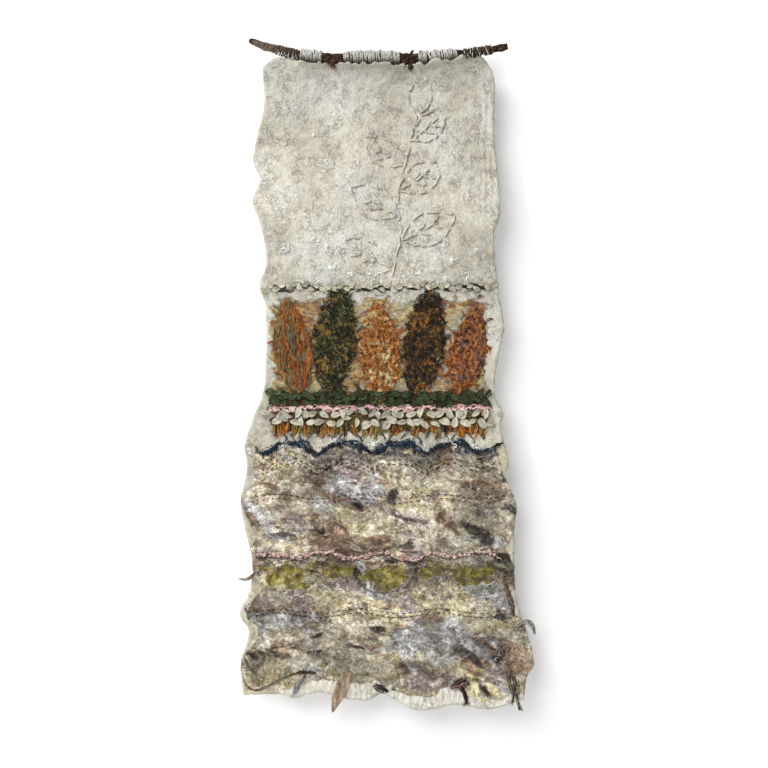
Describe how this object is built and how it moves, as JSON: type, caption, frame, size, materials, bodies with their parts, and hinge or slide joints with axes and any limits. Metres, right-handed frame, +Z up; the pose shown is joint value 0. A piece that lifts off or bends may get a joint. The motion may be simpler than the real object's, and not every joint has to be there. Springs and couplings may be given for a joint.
{
  "type": "felt wall hanging on a branch",
  "caption": "Long hand-felted wool panel with a lobed, gently waving outline, leaf shapes and curled locks on its front, bound with yarn under a natural branch.",
  "frame": {"origin": "on the branch's axis at the middle of its width, where the wall's hooks hold it", "axes": "+X to the right of someone facing the hanging, +Y towards the wall, +Z up"},
  "size_m": [0.4022, 0.0293, 0.9142],
  "materials": {
    "bark": "matt grey-brown bark, paler and lichened towards the pointed end",
    "felt": "matt cream wool felt with crimped wrinkles, marled grey, taupe and ochre below",
    "yarn": "matt pale grey plied wool yarn",
    "thread": "mottled dark brown and white thread",
    "leaf_rust": "matt rust wool fibre",
    "leaf_olive": "matt dark olive wool fibre",
    "leaf_ochre": "matt ochre wool fibre",
    "leaf_brown": "matt brown-black wool fibre",
    "leaf_copper": "matt copper wool fibre",
    "scrap": "thin beige-brown felt scrap",
    "lock": "dark grey-brown raw wool lock"
  },
  "bodies": {
    "root": {"branch": "bark", "felt_panel": "felt", "winding_left": "yarn", "winding_middle": "yarn", "winding_right": "yarn", "thread_left": "thread", "thread_right": "thread", "leaf_rust": "leaf_rust", "leaf_olive": "leaf_olive", "leaf_ochre": "leaf_ochre", "leaf_bark": "leaf_brown", "leaf_copper": "leaf_copper", "scrap_hem": "scrap", "lock_left": "lock", "lock_right": "lock", "lock_hem": "lock"}
  },
  "joints": []
}
